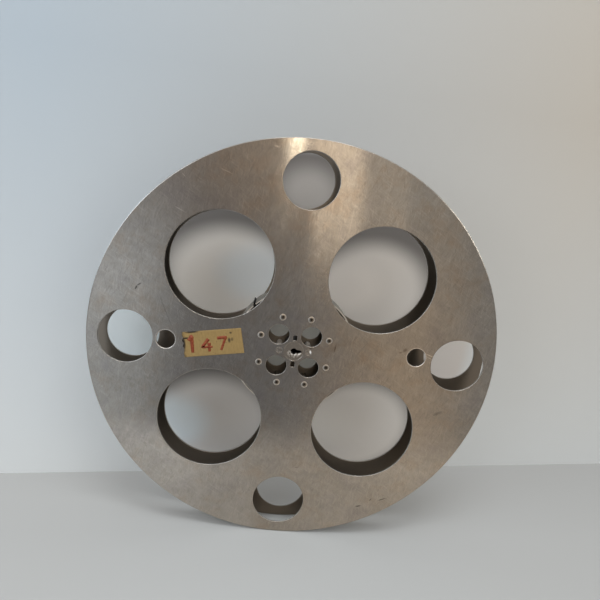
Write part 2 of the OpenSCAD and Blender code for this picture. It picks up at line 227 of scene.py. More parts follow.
# Pillars: eight turned steel tubes, tapped for a screw at each end, that stand inside the drum
# and set the distance between the flanges.
# Turned steel, left dull: rings round the tube, 0.1 mm apart and drawn at 0.9 mm so that they show,
# and a thin brown film of old oil.
pillar_ring = 0.9 * mm
oil_spot = 9 * mm
turned_steel, tree, place = new_material("turned_steel_old_oil")
height = add(tree, "SeparateXYZ", {"Vector": place}, out="Y")
rings = add(tree, "TexNoise", {"W": height, "Scale": 1 / pillar_ring, "Detail": 1.0},
            noise_dimensions="1D")
oil = add(tree, "TexNoise", {"Vector": place, "Scale": 1 / oil_spot, "Detail": 3.0})
add(tree, "OutputMaterial", {"Surface": add(tree, "BsdfPrincipled", {
    "Base Color": add(tree, "Mix", {
        "Factor_Float": oil, "A_Color": linear("#8d8a84"), "B_Color": linear("#655c4f")},
        out=2, data_type="RGBA"),
    "Roughness": add(tree, "MapRange", {"Value": rings, "To Min": 0.25, "To Max": 0.45}),
    "Metallic": 1.0})})
dress(turned_steel, *[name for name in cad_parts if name.startswith("pillar_")])

# Core drum: a strip of aluminium rolled into a ring, which the film is wound on. Its edges sit in
# grooves in the flanges, and its ends stop short of each other to leave the film slot.
# Rolled aluminium: sides dulled by the film, with faint lines along the strip, drawn at 1.2 mm so
# that they show, and bright edges.
roll_line = 1.2 * mm
rub = 25 * mm
rolled_aluminium, tree, place = new_material("rolled_aluminium_strip")
height = add(tree, "SeparateXYZ", {"Vector": place}, out="Y")
lines = add(tree, "TexNoise", {"W": height, "Scale": 1 / roll_line, "Detail": 2.0},
            noise_dimensions="1D")
rubs = add(tree, "TexNoise", {"Vector": place, "Scale": 1 / rub, "Detail": 3.0})
facing = along_axis(tree, add(tree, "TexCoord", out="Normal"))
add(tree, "OutputMaterial", {"Surface": add(tree, "BsdfPrincipled", {
    "Base Color": add(tree, "Mix", {
        "Factor_Float": add(tree, "MapRange", {"Value": facing, "From Min": 0.4, "From Max": 0.6}),
        "A_Color": add(tree, "Mix", {
            "Factor_Float": rubs, "A_Color": linear("#b3ada4"), "B_Color": linear("#8c8479")},
            out=2, data_type="RGBA"),
        "B_Color": linear("#f0ece5")}, out=2, data_type="RGBA"),
    "Roughness": add(tree, "MapRange", {"Value": lines, "To Min": 0.35, "To Max": 0.5}),
    "Metallic": 1.0})})
dress(rolled_aluminium, "core_drum")

# Clip bracket: a curved plate of plated steel, pressed with two ears and riveted inside the drum
# beside the film slot.
# Zinc-plated steel: a dull, cloudy grey with a faint crystal pattern.
zinc_cloud = 6 * mm
zinc_plate, tree, place = new_material("zinc_plated_steel_dull")
clouds = add(tree, "TexVoronoi", {"Vector": place, "Scale": 1 / zinc_cloud}, out="Distance")
add(tree, "OutputMaterial", {"Surface": add(tree, "BsdfPrincipled", {
    "Base Color": add(tree, "Mix", {
        "Factor_Float": clouds, "A_Color": linear("#b1aea7"), "B_Color": linear("#8c8982")},
        out=2, data_type="RGBA"),
    "Roughness": add(tree, "MapRange", {"Value": clouds, "To Min": 0.3, "To Max": 0.5}),
    "Metallic": 1.0})})
dress(zinc_plate, "clip_bracket")

# Rivets: two soft aluminium rivets, closed flush on the drum's outside.
# Plain aluminium: small dents from the closing tool.
rivet_dent = 1.2 * mm
plain_aluminium, tree, place = new_material("plain_aluminium_rivet")
dents = add(tree, "TexNoise", {"Vector": place, "Scale": 1 / rivet_dent, "Detail": 1.0})
add(tree, "OutputMaterial", {"Surface": add(tree, "BsdfPrincipled", {
    "Base Color": add(tree, "Mix", {
        "Factor_Float": dents, "A_Color": linear("#cfccc5"), "B_Color": linear("#b4b1aa")},
        out=2, data_type="RGBA"),
    "Roughness": add(tree, "MapRange", {"Value": dents, "To Min": 0.28, "To Max": 0.45}),
    "Metallic": 1.0,
    "Normal": add(tree, "Bump", {"Height": dents, "Strength": 1.0, "Distance": 0.05 * mm})})})
dress(plain_aluminium, "clip_rivets")

# Clip pin and spring: a ground steel pin, pressed into the ears, and a torsion spring of drawn wire
# wound round it that pulls the clip shut.
# Ground steel and drawn wire: smooth and grey, with fine lines along the length, drawn at 0.5 mm so
# that they show.
wire_line = 0.5 * mm
wire_run = 6 * mm
for name, dark, pale, rough, nodes in (
        ("ground_steel_pin", "#bcbab5", "#d0cec9", (0.18, 0.32), ["clip_pin"]),
        ("drawn_spring_wire", "#8d8b87", "#a5a39e", (0.25, 0.42), ["clip_spring"])):
    material, tree, place = new_material(name)
    lines = add(tree, "TexNoise", {
        "Vector": add(tree, "Mapping", {
            "Vector": place, "Scale": (1 / wire_line, 1 / wire_run, 1 / wire_line)}),
        "Scale": 1.0, "Detail": 2.0})
    add(tree, "OutputMaterial", {"Surface": add(tree, "BsdfPrincipled", {
        "Base Color": add(tree, "Mix", {
            "Factor_Float": lines, "A_Color": linear(dark), "B_Color": linear(pale)},
            out=2, data_type="RGBA"),
        "Roughness": add(tree, "MapRange", {"Value": lines, "To Min": rough[0], "To Max": rough[1]}),
        "Metallic": 1.0})})
    dress(material, *nodes)

# Film clip: a bent lever of spring steel on the pin. Its tip reaches out through the film slot, and
# it is pressed back to let the film's end go.
# Blackened steel: a thin black oxide, worn to grey on the ridges and in small rubs.
oxide_rub = 4 * mm
black_oxide, tree, place = new_material("blackened_spring_steel")
rubs = add(tree, "TexNoise", {"Vector": place, "Scale": 1 / oxide_rub, "Detail": 4.0})
worn = add(tree, "MapRange", {"Value": rubs, "From Min": 0.55, "From Max": 0.75})
add(tree, "OutputMaterial", {"Surface": add(tree, "BsdfPrincipled", {
    "Base Color": add(tree, "Mix", {
        "Factor_Float": worn, "A_Color": linear("#060606"), "B_Color": linear("#1b1a18")},
        out=2, data_type="RGBA"),
    "Roughness": add(tree, "MapRange", {"Value": rubs, "To Min": 0.45, "To Max": 0.7}),
    "Specular IOR Level": 0.2})})
dress(black_oxide, "film_clip")

# Flanges: two discs cut from flat aluminium sheet, pierced on a press, with the edges broken by hand.
# They sit on the drum's edges and are drawn together by the screws.
sheet_grain = 1.5 * mm
grain_run = 140 * mm
tarnish = 70 * mm
haze = 9 * mm
stain = 38 * mm
buckle = 110 * mm
scuff_run = 17 * mm
scuff_width = 1.7 * mm
pit_gap = 30 * mm
pit_size = 0.9 * mm
mark_depth = 0.5 * mm
burr_highlight_reach = 15.6 * mm
edge_round = 0.9 * mm
rim_width = 2 * mm
rim_highlight_stretches = [(41, 75 * mm), (150, 95 * mm)]
dust_and_shade_thin = 0.5 * mm
dust_and_shade_thick = 0.2 * mm
rim_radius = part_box("front_flange")[1].x
face_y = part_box("front_flange")[0].y
film_side = -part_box("front_flange")[1].y


def sheet_aluminium(name, marks, drilled):
    """Satin sheet. Marks are x, z, length and width in mm, lean in degrees, colour and strength."""
    material, tree, place = new_material(name)
    # Rolled aluminium: a grain that runs across, 0.2 mm apart and drawn at 1.5 mm so that it shows, and
    # a slow, patchy tarnish. The grain draws every reflection out upwards and downwards.
    grain = add(tree, "TexNoise", {
        "Vector": add(tree, "Mapping", {
            "Vector": place, "Scale": (1 / grain_run, 1 / grain_run, 1 / sheet_grain)}),
        "Scale": 1.0, "Detail": 2.0})
    patches = add(tree, "TexNoise", {
        "Vector": place, "Scale": 1 / tarnish, "Detail": 4.0, "Roughness": 0.6})
    cloud = add(tree, "TexNoise", {
        "Vector": place, "Scale": 1 / haze, "Detail": 4.0, "Roughness": 0.65})
    colour = add(tree, "Mix", {
        "Factor_Float": add(tree, "MapRange", {"Value": patches, "From Min": 0.35, "From Max": 0.65}),
        "A_Color": linear("#cbc9c5"), "B_Color": linear("#bfbdb9")}, out=2, data_type="RGBA")
    colour = add(tree, "Mix", {
        "Factor_Float": add(tree, "MapRange", {
            "Value": cloud, "From Min": 0.42, "From Max": 0.72, "To Max": 0.38}),
        "A_Color": colour, "B_Color": linear("#a7a29a")}, out=2, data_type="RGBA")
    # Old handling has left brown patches and, between them, greyer ones.
    stains = add(tree, "TexNoise", {
        "Vector": place, "Scale": 1 / stain, "Detail": 5.0, "Roughness": 0.65})
    for low_end, high_end, code in ((0.5, 0.7, "#bda994"), (0.48, 0.3, "#aaa7ac")):
        colour = add(tree, "Mix", {
            "Factor_Float": add(tree, "MapRange", {
                "Value": stains, "From Min": low_end, "From Max": high_end, "To Max": 0.42}),
            "A_Color": colour, "B_Color": linear(code)}, out=2, data_type="RGBA")
    # Short scuffs, upright and leaning both ways, pale ones and darker ones. They are 0.2 mm wide and
    # drawn at 1.7 mm so that they show.
    for lean, code, strength in (
            (83, "#f1eee9", 0.2), (-32, "#f1eee9", 0.18), (61, "#8f8981", 0.2), (104, "#8f8981", 0.16)):
        scuffs = add(tree, "TexNoise", {
            "Vector": add(tree, "Mapping", {
                "Vector": add(tree, "Mapping", {
                    "Vector": place, "Rotation": (0, math.radians(lean), 0),
                    "Location": (lean * mm, 0, 0)}),
                "Scale": (1 / scuff_run, 1 / scuff_run, 1 / scuff_width)}),
            "Scale": 1.0, "Detail": 1.0})
        colour = add(tree, "Mix", {
            "Factor_Float": add(tree, "MapRange", {
                "Value": scuffs, "From Min": 0.56, "From Max": 0.72, "To Max": strength}),
            "A_Color": colour, "B_Color": linear(code)}, out=2, data_type="RGBA")
    # Small dark pits, one to a cell of a scattered pattern.
    pits = add(tree, "MapRange", {
        "Value": add(tree, "TexVoronoi", {"Vector": place, "Scale": 1 / pit_gap}, out="Distance"),
        "From Min": pit_size / pit_gap, "From Max": 0.5 * pit_size / pit_gap})
    colour = add(tree, "Mix", {
        "Factor_Float": add(tree, "Math", {"Value": pits, "Value_001": 0.5}, operation="MULTIPLY"),
        "A_Color": colour, "B_Color": linear("#5b544b")}, out=2, data_type="RGBA")
    # Single marks, each a soft streak on the outer face.
    for x, z, length, width, lean, code, strength in marks:
        streak = soft_spot(
            tree, place, (x * mm, face_y, z * mm), (length / 2 * mm, mark_depth, width / 2 * mm), lean)
        colour = add(tree, "Mix", {
            "Factor_Float": add(tree, "MapRange", {
                "Value": streak, "From Max": 0.6, "To Max": strength}),
            "A_Color": colour, "B_Color": linear(code)}, out=2, data_type="RGBA")
    # The broken edges are dull and rough: they face neither straight out nor along the sheet.
    facing = along_axis(tree, add(tree, "TexCoord", out="Normal"))
    edge = add(tree, "Math", {"Value": facing, "Value_001": 0.7, "Value_002": 0.2}, operation="COMPARE")
    # Two stretches of the rim, given by their angle and reach, are bright and smooth: worn by hands,
    # and painted bright as highlights.
    from_axis = add(tree, "VectorMath", {
        "Vector": add(tree, "VectorMath", {
            "Vector": place, "Vector_001": (1, 0, 1)}, operation="MULTIPLY")},
        out="Value", operation="LENGTH")
    worn = 0.0
    for angle, reach in rim_highlight_stretches:
        turn = math.radians(angle)
        middle = (rim_radius * math.cos(turn), 0, rim_radius * math.sin(turn))
        near = add(tree, "MapRange", {
            "Value": add(tree, "VectorMath", {
                "Vector": place, "Vector_001": middle}, out="Value", operation="DISTANCE"),
            "From Min": reach, "From Max": 0.6 * reach})
        worn = add(tree, "Math", {"Value": worn, "Value_001": near}, operation="MAXIMUM")
    rim = add(tree, "Math", {
        "Value": add(tree, "MapRange", {
            "Value": from_axis,
            "From Min": rim_radius - rim_width, "From Max": rim_radius - rim_width / 2}),
        "Value_001": worn}, operation="MULTIPLY")
    # The broken edges take a dull colour; on the rim stretches it is the pale painted highlight.
    colour = add(tree, "Mix", {
        "Factor_Float": edge,
        "A_Color": colour,
        "B_Color": add(tree, "Mix", {
            "Factor_Float": rim, "A_Color": linear("#b0ada7"), "B_Color": linear("#fdfcf9")},
            out=2, data_type="RGBA")}, out=2, data_type="RGBA")
    # A bright ring round the small holes, given by their centres: the drill's burr, painted bright as a
    # highlight.
    for x, z in drilled:
        away = add(tree, "VectorMath", {
            "Vector": place, "Vector_001": (x * mm, face_y, z * mm)}, out="Value", operation="DISTANCE")
        colour = add(tree, "Mix", {
            "Factor_Float": add(tree, "MapRange", {
                "Value": away, "From Min": burr_highlight_reach, "From Max": burr_highlight_reach - mm}),
            "A_Color": colour, "B_Color": linear("#f6f3ee")}, out=2, data_type="RGBA")
    # The film sides are dulled by dust from the film and painted darker as shade between the flanges.
    dusty_and_shaded = add(tree, "MapRange", {
        "Value": along_axis(tree, place),
        "From Min": film_side + dust_and_shade_thin, "From Max": film_side + dust_and_shade_thick})
    colour = add(tree, "Mix", {
        "Factor_Float": dusty_and_shaded, "A_Color": colour, "B_Color": linear("#8e8880")},
        out=2, data_type="RGBA")
    rough = add(tree, "Math", {
        "Value": add(tree, "MapRange", {"Value": grain, "To Min": 0.11, "To Max": 0.17}),
        "Value_001": add(tree, "MapRange", {
            "Value": cloud, "From Min": 0.4, "From Max": 0.8, "To Max": 0.04})},
        operation="ADD")
    for area, step in ((edge, 0.2), (rim, -0.15), (dusty_and_shaded, 0.17)):
        rough = add(tree, "Math", {
            "Value": area, "Value_001": step, "Value_002": rough}, operation="MULTIPLY_ADD")
    # The sheet is not quite flat: it is buckled by a fraction of a millimetre.
    rise = add(tree, "Math", {
        "Value": grain, "Value_001": 0.012,
        "Value_002": add(tree, "TexNoise", {"Vector": place, "Scale": 1 / buckle, "Detail": 1.0})},
        operation="MULTIPLY_ADD")
    add(tree, "OutputMaterial", {"Surface": add(tree, "BsdfPrincipled", {
        "Base Color": colour, "Roughness": rough, "Metallic": 1.0, "Anisotropic": 0.9,
        "Tangent": add(tree, "Tangent", direction_type="RADIAL", axis="X"),
        "Normal": add(tree, "Bump", {
            "Height": rise, "Strength": 1.0, "Distance": 0.35 * mm,
            "Normal": add(tree, "Bevel", {"Radius": edge_round}, samples=8)})})})
    return material


dark_mark, brown_stain, bright_scratch = "#2e2a26", "#5d4630", "#fbf8f2"
dress(sheet_aluminium("satin_sheet_aluminium_rear", [], []), "rear_flange")
dress(sheet_aluminium("satin_sheet_aluminium_front", [
    (-231, 73, 8, 2.6, 65, dark_mark, 0.9), (-227, 78, 9, 2.0, 35, dark_mark, 0.8),
    (-188, 42, 76, 1.8, 114, dark_mark, 0.22),
    (127, -245, 11, 2.6, 15, dark_mark, 0.8), (145, -232, 7, 2.2, 55, dark_mark, 0.6),
    (163, -230, 17, 1.8, 24, dark_mark, 0.75),
    (227, -78, 18, 6, 30, dark_mark, 0.3),
    (60, 10, 15, 2.2, 82, brown_stain, 0.7),
    (163, 17, 9, 6, 40, brown_stain, 0.45), (157, 13, 6, 4, 10, brown_stain, 0.4),
    (24, 6.6, 5, 3, 10, dark_mark, 0.5), (23, -186.5, 8, 2, 20, dark_mark, 0.35),
    (-116, 245, 22, 1.6, -20, bright_scratch, 0.5), (-176, 188, 21, 1.6, -24, bright_scratch, 0.6),
    (-173, 234, 10, 1.6, -42, bright_scratch, 0.6), (-51, 284, 10, 2.0, -15, bright_scratch, 0.7),
    (202, 12, 24, 1.6, -18, bright_scratch, 0.8), (204, 7, 22, 1.4, -22, bright_scratch, 0.7)],
    [(-186.3, 0.8), (181.3, 7.3)]), "front_flange")

# Screws: eight plated steel screws on each side, with crowned countersunk heads and a cross recess,
# that hold the flanges to the pillars.
# Nickel plate: bright and smooth, worn in small rubs, with old dirt and painted shade in the recess.
plate_rub = 2 * mm
recess_depth = 0.5 * mm
head_top = -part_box("front_screws")[0].y
nickel_plate, tree, place = new_material("nickel_plated_steel_bright")
rubs = add(tree, "TexNoise", {"Vector": place, "Scale": 1 / plate_rub, "Detail": 3.0})
recess_dirt_and_shade = add(tree, "MapRange", {
    "Value": along_axis(tree, place),
    "From Min": head_top - recess_depth, "From Max": head_top - 2 * recess_depth})
# The middle of the crown, which is its flattest part, is painted darker: painted shade round the
# recess.
facing = along_axis(tree, add(tree, "TexCoord", out="Normal"))
plate = add(tree, "Mix", {
    "Factor_Float": rubs, "A_Color": linear("#f7f5f1"), "B_Color": linear("#dcd9d3")},
    out=2, data_type="RGBA")
plate = add(tree, "Mix", {
    "Factor_Float": add(tree, "MapRange", {"Value": facing, "From Min": 0.986, "From Max": 0.993}),
    "A_Color": plate, "B_Color": linear("#85817a")}, out=2, data_type="RGBA")
add(tree, "OutputMaterial", {"Surface": add(tree, "BsdfPrincipled", {
    "Base Color": add(tree, "Mix", {
        "Factor_Float": recess_dirt_and_shade, "A_Color": plate, "B_Color": linear("#3a352e")},
        out=2, data_type="RGBA"),
    "Roughness": add(tree, "MapRange", {"Value": rubs, "To Min": 0.2, "To Max": 0.4}),
    "Metallic": 1.0})})
dress(nickel_plate, "front_screws", "rear_screws")

# Tape label: a strip of crepe paper tape pressed on the front flange, torn off at the left and cut
# at the right. It has aged from cream to ochre, and its edges have picked up dirt.
tape_length = 88 * mm
tape_width = 38 * mm
tape_thick = 0.2 * mm
tape_lean = math.radians(9.7)
tape_step = 1 * mm
tear_depth = 2.4 * mm
tear_wave = 5 * mm
tear_fibre = 1 * mm
cut_slant = 1.5 * mm
crease = 0.12 * mm
crease_length = 14 * mm
crease_gap = 5 * mm
corner_lift = 0.5 * mm
corner_reach = 12 * mm
low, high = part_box("tape_label")
tape_middle = Vector(((low.x + high.x) / 2, face_y, (low.z + high.z) / 2))
tape_along = Vector((math.cos(tape_lean), 0, math.sin(tape_lean)))
tape_across = Vector((-math.sin(tape_lean), 0, math.cos(tape_lean)))
outwards = Vector((0, -1, 0))


def tape_height(u, v):
    """Height of the tape's surface over the flange: creases, and a corner that has come loose."""
    creases = crease * max(0.0, noise.noise(Vector((u / crease_length, v / crease_gap, 1.7))))
    to_corner = Vector((u + tape_length / 2, v + tape_width / 2)).length
    loose = corner_lift * max(0.0, 1 - to_corner / corner_reach) ** 2
    return tape_thick + creases + loose


def on_tape(u, v, height):
    """The point at u along the tape, v across it and a height over the flange."""
    return tape_middle + tape_along * u + tape_across * v + outwards * height


def new_piece(name, mesh_maker, material):
    """A mesh piece that rides on the reel."""
    made = bmesh.new()
    mesh_maker(made)
    bmesh.ops.recalc_face_normals(made, faces=made.faces)
    mesh = bpy.data.meshes.new(name)
    made.to_mesh(mesh)
    made.free()
    mesh.materials.append(material)
    mesh.shade_smooth()
    piece = bpy.data.objects.new(name, mesh)
    bpy.context.scene.collection.objects.link(piece)
    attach(piece, "reel")
    return piece


def tape_mesh(made):
    """A thin closed strip: a top and an underside with a torn left end, and the edge between them."""
    columns = round(tape_length / tape_step)
    rows = round(tape_width / tape_step)
    layers = []
    for under in (False, True):
        layer = []
        for i in range(columns + 1):
            column = []
            for j in range(rows + 1):
                v = tape_width * (j / rows - 0.5)
                ragged = noise.noise(Vector((v / tear_wave, 0.3, 0)))
                ragged += 0.5 * noise.noise(Vector((v / tear_fibre, 4, 0)))
                left = -tape_length / 2 + tear_depth * max(0.0, 0.4 + ragged)
                right = tape_length / 2 - cut_slant * (0.5 + v / tape_width)
                u = left + (right - left) * i / columns
                top = tape_height(u, v)
                column.append(made.verts.new(on_tape(u, v, top - 0.9 * tape_thick if under else top)))
            layer.append(column)
        layers.append(layer)
    for layer in layers:
        for i in range(columns):
            for j in range(rows):
                made.faces.new((layer[i][j], layer[i + 1][j], layer[i + 1][j + 1], layer[i][j + 1]))
    top, bottom = layers
    rim = [(i, 0) for i in range(columns)] + [(columns, j) for j in range(rows)]
    rim += [(columns - i, rows) for i in range(columns)] + [(0, rows - j) for j in range(rows)]
    for (i, j), (k, m) in zip(rim, rim[1:] + rim[:1]):
        made.faces.new((top[i][j], top[k][m], bottom[k][m], bottom[i][j]))


# Crepe paper: fine wrinkles across the strip, about 0.6 mm apart and drawn at 2.2 mm so that they
# show, a waxy sheen gone dull, brown specks, and dirt along the torn end and the edges.
crepe = 2.2 * mm
speck = 3.5 * mm
dirt_reach = 5 * mm
crepe_paper, tree, place = new_material("crepe_paper_tape_aged")
strip = add(tree, "Mapping", {
    "Vector": place, "Location": tape_middle, "Rotation": (0, -tape_lean, 0)}, vector_type="TEXTURE")
wrinkles = add(tree, "TexNoise", {
    "Vector": add(tree, "Mapping", {"Vector": strip, "Scale": (1 / crepe, 1, 0.25 / crepe)}),
    "Scale": 1.0, "Detail": 3.0})
specks = add(tree, "TexNoise", {
    "Vector": strip, "Scale": 1 / speck, "Detail": 4.0, "Roughness": 0.7})
ageing = add(tree, "Mix", {
    "Factor_Float": wrinkles, "A_Color": linear("#8a7245"), "B_Color": linear("#af945e")},
    out=2, data_type="RGBA")
ageing = add(tree, "Mix", {
    "Factor_Float": add(tree, "MapRange", {"Value": specks, "From Min": 0.6, "From Max": 0.75}),
    "A_Color": ageing, "B_Color": linear("#4d3517")}, out=2, data_type="RGBA")
side = add(tree, "SeparateXYZ", {"Vector": strip}, out="X")
dirt = add(tree, "Math", {
    "Value": add(tree, "MapRange", {
        "Value": side, "From Min": dirt_reach - tape_length / 2, "From Max": -tape_length / 2}),
    "Value_001": add(tree, "MapRange", {"Value": specks, "From Min": 0.35, "From Max": 0.55})},
    operation="MULTIPLY")
# Black smears on the torn end and on the upper edge, and brown ones on the right.
for u, v, length, width, smear_depth in (
        (-42.5, 2, 8, 30, 1.0), (-29, 18.5, 26, 5, 1.0), (-39, 9.5, 15, 3.5, 1.0), (24, 2, 5, 10, 0.8),
        (28, 3, 5, 7, 0.6), (27, 13, 5, 4, 0.8)):
    spot = soft_spot(tree, strip, (u * mm, 0, v * mm), (length / 2 * mm, 2 * mm, width / 2 * mm))
    dirt = add(tree, "Math", {
        "Value": dirt,
        "Value_001": add(tree, "MapRange", {"Value": spot, "From Max": 0.6, "To Max": smear_depth})},
        operation="MAXIMUM")
add(tree, "OutputMaterial", {"Surface": add(tree, "BsdfPrincipled", {
    "Base Color": add(tree, "Mix", {
        "Factor_Float": dirt, "A_Color": ageing, "B_Color": linear("#20170e")},
        out=2, data_type="RGBA"),
    "Roughness": add(tree, "MapRange", {"Value": wrinkles, "To Min": 0.5, "To Max": 0.75}),
    "Normal": add(tree, "Bump", {"Height": wrinkles, "Strength": 1.0, "Distance": 0.25 * mm})})})
tape_strip = new_piece("tape_strip", tape_mesh, crepe_paper)
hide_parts("tape_label")

# Figures on the tape: a plain number, painted by hand with a flat brush in thin red-brown paint.
# Each has its middle along and across the tape, its height, width and brush width.
figure_sizes = [(-31 * mm, -0.5 * mm, 25 * mm, 12 * mm, 6 * mm),
                (-9 * mm, -3.5 * mm, 19 * mm, 16 * mm, 4.6 * mm),
                (13 * mm, -2.5 * mm, 19 * mm, 14 * mm, 4.6 * mm)]
paint_thick = 0.06 * mm
figure_strokes = [
    [(0.25, 0.72), (0.6, 1.0), (0.55, 0.0)],
    [(0.7, 1.0), (0.05, 0.38), (1.0, 0.36)], [(0.72, 0.7), (0.68, 0.0)],
    [(0.05, 0.97), (0.95, 1.0), (0.35, 0.0)]]
figure_of_stroke = [0, 1, 1, 2]


def figures_mesh(made):
    """Each stroke is a flat ribbon on the tape that narrows and wavers as the brush runs dry."""
    for stroke, figure in zip(figure_strokes, figure_of_stroke):
        middle_u, middle_v, figure_height, figure_width, brush_width = figure_sizes[figure]
        path = []
        for (x0, z0), (x1, z1) in zip(stroke, stroke[1:]):
            steps = max(2, round(math.hypot((x1 - x0) * figure_width, (z1 - z0) * figure_height) / mm))
            path += [(x0 + (x1 - x0) * k / steps, z0 + (z1 - z0) * k / steps) for k in range(steps)]
        path.append(stroke[-1])
        points = [Vector((
            middle_u + (x - 0.5) * figure_width,
            middle_v + (z - 0.5) * figure_height)) for x, z in path]
        edges = []
        for k, point in enumerate(points):
            ahead = points[min(k + 1, len(points) - 1)] - points[max(k - 1, 0)]
            normal = Vector((-ahead.y, ahead.x)).normalized()
            wobble = 1 + 0.3 * noise.noise(Vector((k / 3, figure * 7.3, 0)))
            half = brush_width / 2 * wobble * (1 - 0.3 * k / len(points))
            edges.append([made.verts.new(on_tape(*corner, tape_height(*corner) + rise))
                          for corner in (point + normal * half, point - normal * half)
                          for rise in (paint_thick, -0.5 * paint_thick)])
        for near, far in zip(edges, edges[1:]):
            for a, b in ((0, 2), (2, 3), (3, 1), (1, 0)):
                made.faces.new((near[a], near[b], far[b], far[a]))
        for end in (edges[0], edges[-1]):
            made.faces.new((end[0], end[2], end[3], end[1]))


# Brush paint: thin and uneven, so the ochre paper shows through where the brush ran dry.
brush_streak = 2.5 * mm
brush_paint, tree, place = new_material("thin_red_brown_paint")
streaks = add(tree, "TexNoise", {
    "Vector": place, "Scale": 1 / brush_streak, "Detail": 4.0, "Roughness": 0.7})
add(tree, "OutputMaterial", {"Surface": add(tree, "BsdfPrincipled", {
    "Base Color": add(tree, "Mix", {
        "Factor_Float": add(tree, "MapRange", {"Value": streaks, "From Min": 0.35, "From Max": 0.75}),
        "A_Color": linear("#85301b"), "B_Color": linear("#9b552a")}, out=2, data_type="RGBA"),
    "Roughness": add(tree, "MapRange", {"Value": streaks, "To Min": 0.4, "To Max": 0.7})})})
new_piece("tape_figures", figures_mesh, brush_paint)

# Camera: at the photograph's place and angle, close in front of the reel and a little above
# its middle.
camera_data = bpy.data.cameras.new("camera")
camera_data.lens = 30
camera_data.sensor_width = 36
camera = bpy.data.objects.new("camera", camera_data)
camera.location = (-34.7 * mm, -720.3 * mm, 227.7 * mm)
camera.rotation_euler = Euler([math.radians(a) for a in (77.805, -5.985, -1.638)], "XYZ")
bpy.context.scene.collection.objects.link(camera)
bpy.context.scene.camera = camera

# Floor and backdrop: a plain pale table top, with a painted board standing close behind the reel
# and leaning a little towards it. The board shows only from the front, so that it hides nothing
# from behind.
floor_z = cad_box[0].z
floor_half = 6
board_left = Vector((-352, 98)) * mm
board_right = Vector((506, 248)) * mm
board_lean = 0.05
board_reach = 6
board_top = 3
cool_end = -0.4
warm_end = 0.5
pale_from = 0.4
shade_middle = Vector((9, 161, -60)) * mm
shade_core = 30 * mm
shade_reach = 130 * mm
shadow_middle = Vector((15, 0, -36)) * mm
shadow_radius = 335 * mm
shadow_fade = 15 * mm
lit_inside = 17 * mm
lit_outside = 27 * mm
lit_stretch = 0.82
light_patches = [
    (-115, 73, 78, 1.0, "#f4f1ec"), (-75, 85, 40, 0.6, "#e9f4fb"),
    (139, 67, 78, 1.0, "#e6e2dd"), (95, 70, 40, 0.6, "#fbf6f0"),
    (-128, -196, 80, 1.0, "#e8e6e4"), (-200, -200, 45, 1.0, "#eef8fe"),
    (142, -207, 86, 1.0, "#f4f0eb"), (75, -205, 40, 0.6, "#fbf8f2"),
    (6, 228, 34, 0.5, "#ebe8e4"), (-274, -40, 65, 1.0, "#effaff"), (317, -60, 65, 1.0, "#dad6d2")]
table_front = -0.27
table_fade = 0.13
table_turn = 0.25


def stage_sheet(name, corners, material):
    """A flat sheet that belongs to the stage and not to the reel."""
    mesh = bpy.data.meshes.new(name)
    mesh.from_pydata(corners, [], [(0, 1, 2, 3)])
    mesh.materials.append(material)
    sheet = bpy.data.objects.new(name, mesh)
    bpy.context.scene.collection.objects.link(sheet)


# Matt paint on the table. Mirrored in the reel, it ends a little way in front of it and carries a
# painted shade, darkest in the middle.
floor_paint, tree, place = new_material("pale_matt_table_top")
glossy_ray = add(tree, "LightPath", out="Is Glossy Ray")
across = add(tree, "SeparateXYZ", {"Vector": place}, out="X")
mirrored = add(tree, "Mix", {
    "Factor_Float": add(tree, "MapRange", {"Value": across, "From Min": -table_turn, "From Max": 0}),
    "A_Color": linear("#cdcdcb"), "B_Color": linear("#afa9a0")}, out=2, data_type="RGBA")
mirrored = add(tree, "Mix", {
    "Factor_Float": add(tree, "MapRange", {"Value": across, "From Min": 0, "From Max": table_turn}),
    "A_Color": mirrored, "B_Color": linear("#c6bcae")}, out=2, data_type="RGBA")
pale = add(tree, "BsdfDiffuse", {"Color": add(tree, "Mix", {
    "Factor_Float": glossy_ray, "A_Color": linear("#c1c6c8"), "B_Color": mirrored},
    out=2, data_type="RGBA")})
beyond = add(tree, "MapRange", {
    "Value": add(tree, "SeparateXYZ", {"Vector": place}, out="Y"),
    "From Min": table_front, "From Max": table_front - table_fade}, interpolation_type="SMOOTHSTEP")
gone = add(tree, "Math", {"Value": beyond, "Value_001": glossy_ray}, operation="MULTIPLY")
add(tree, "OutputMaterial", {"Surface": add(tree, "MixShader", {
    "Fac": gone, "Shader": pale, "Shader_001": add(tree, "BsdfTransparent")})})
corners = [(x * floor_half, y * floor_half, floor_z) for x, y in ((-1, -1), (1, -1), (1, 1), (-1, 1))]
stage_sheet("floor", corners, floor_paint)

# Matt paint on the board: cooler to the left, warmer to the right and palest at its foot.
board_paint, tree, place = new_material("pale_matt_board")
camera_ray = add(tree, "LightPath", out="Is Camera Ray")
shown = add(tree, "Math", {
    "Value": add(tree, "Math", {
        "Value": camera_ray, "Value_001": add(tree, "LightPath", out="Is Glossy Ray")},
        operation="MAXIMUM"),
    "Value_001": add(tree, "NewGeometry", out="Backfacing")}, operation="GREATER_THAN")
board_colour = add(tree, "Mix", {
    "Factor_Float": add(tree, "MapRange", {
        "Value": add(tree, "SeparateXYZ", {"Vector": place}, out="X"),
        "From Min": cool_end, "From Max": warm_end}),
    "A_Color": linear("#c1ced9"), "B_Color": linear("#d2cec6")}, out=2, data_type="RGBA")
board_colour = add(tree, "Mix", {
    "Factor_Float": add(tree, "MapRange", {
        "Value": add(tree, "SeparateXYZ", {"Vector": place}, out="Z"),
        "From Min": pale_from, "From Max": floor_z}),
    "A_Color": board_colour, "B_Color": linear("#e9eff2")}, out=2, data_type="RGBA")
